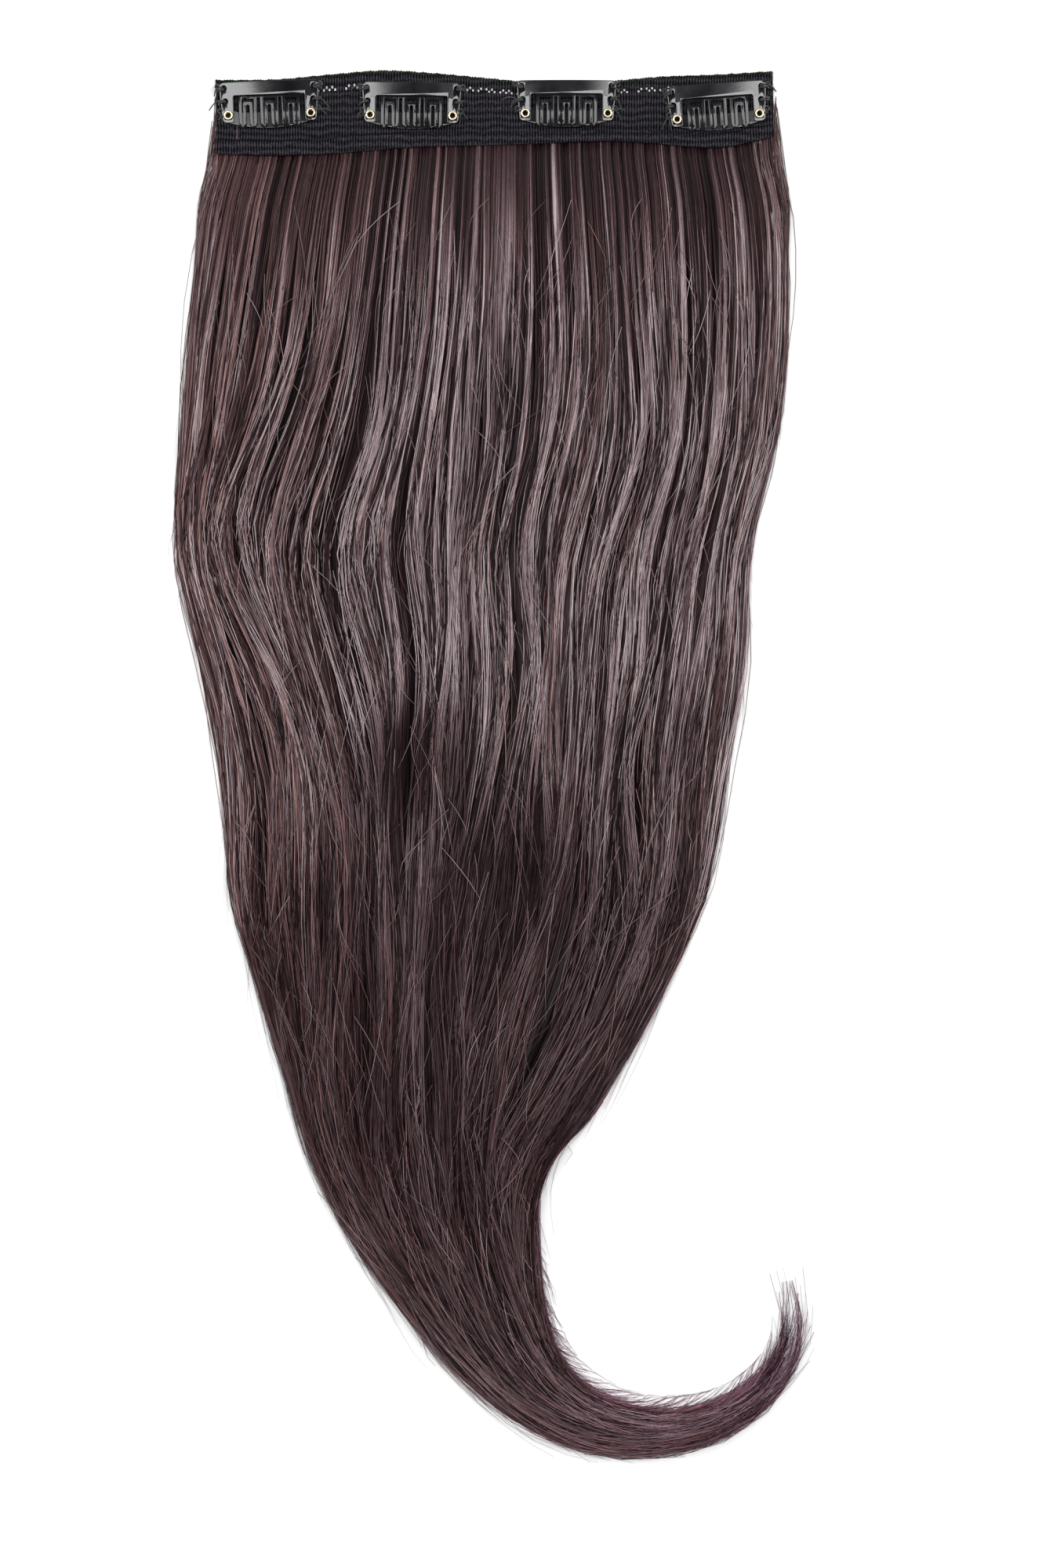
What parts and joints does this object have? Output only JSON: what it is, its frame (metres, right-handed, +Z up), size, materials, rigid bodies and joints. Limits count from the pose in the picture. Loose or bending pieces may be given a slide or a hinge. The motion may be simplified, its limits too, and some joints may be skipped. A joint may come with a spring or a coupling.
{
  "type": "clip-in hair extension",
  "caption": "Hair extension for wearing: a sewn cloth band with snap comb clips along it and a sheet of long dark hair that hangs from it and curls at the end.",
  "frame": {"origin": "centre of the base, on the surface that the extension lies on", "axes": "+X along the band to the right, +Y from the hair's tip towards the band, +Z up from the surface"},
  "size_m": [0.2024, 0.4498, 0.009],
  "materials": {
    "cloth": "ribbed black elastic ribbon",
    "hair": "smooth dark brown hair with a soft sheen",
    "paint": "gloss black paint on spring steel",
    "brass": "bright brass"
  },
  "bodies": {
    "extension": {"band": "cloth", "hair": "hair", "clip_1_frame": "paint", "clip_1_bow": "paint", "clip_1_eyelet_left": "brass", "clip_1_eyelet_right": "brass", "clip_2_frame": "paint", "clip_2_bow": "paint", "clip_2_eyelet_left": "brass", "clip_2_eyelet_right": "brass", "clip_3_frame": "paint", "clip_3_bow": "paint", "clip_3_eyelet_left": "brass", "clip_3_eyelet_right": "brass", "clip_4_frame": "paint", "clip_4_bow": "paint", "clip_4_eyelet_left": "brass", "clip_4_eyelet_right": "brass"},
    "comb_1": {"clip_1_comb": "paint"},
    "comb_2": {"clip_2_comb": "paint"},
    "comb_3": {"clip_3_comb": "paint"},
    "comb_4": {"clip_4_comb": "paint"}
  },
  "joints": [
    {"name": "comb_1_swing", "type": "hinge", "parent": "extension", "child": "comb_1", "pos_m": [-0.07152, 0.2166, 0.0038], "axis": [-0.9994, -0.0349, 0], "range_deg": [0, 35]},
    {"name": "comb_2_swing", "type": "hinge", "parent": "extension", "child": "comb_2", "pos_m": [-0.025, 0.21621, 0.0038], "axis": [-0.9999, 0.014, 0], "range_deg": [0, 35]},
    {"name": "comb_3_swing", "type": "hinge", "parent": "extension", "child": "comb_3", "pos_m": [0.02551, 0.21688, 0.0038], "axis": [-1, 0, 0], "range_deg": [0, 35]},
    {"name": "comb_4_swing", "type": "hinge", "parent": "extension", "child": "comb_4", "pos_m": [0.07457, 0.21582, 0.0038], "axis": [-0.9973, -0.0732, 0], "range_deg": [0, 35]}
  ]
}
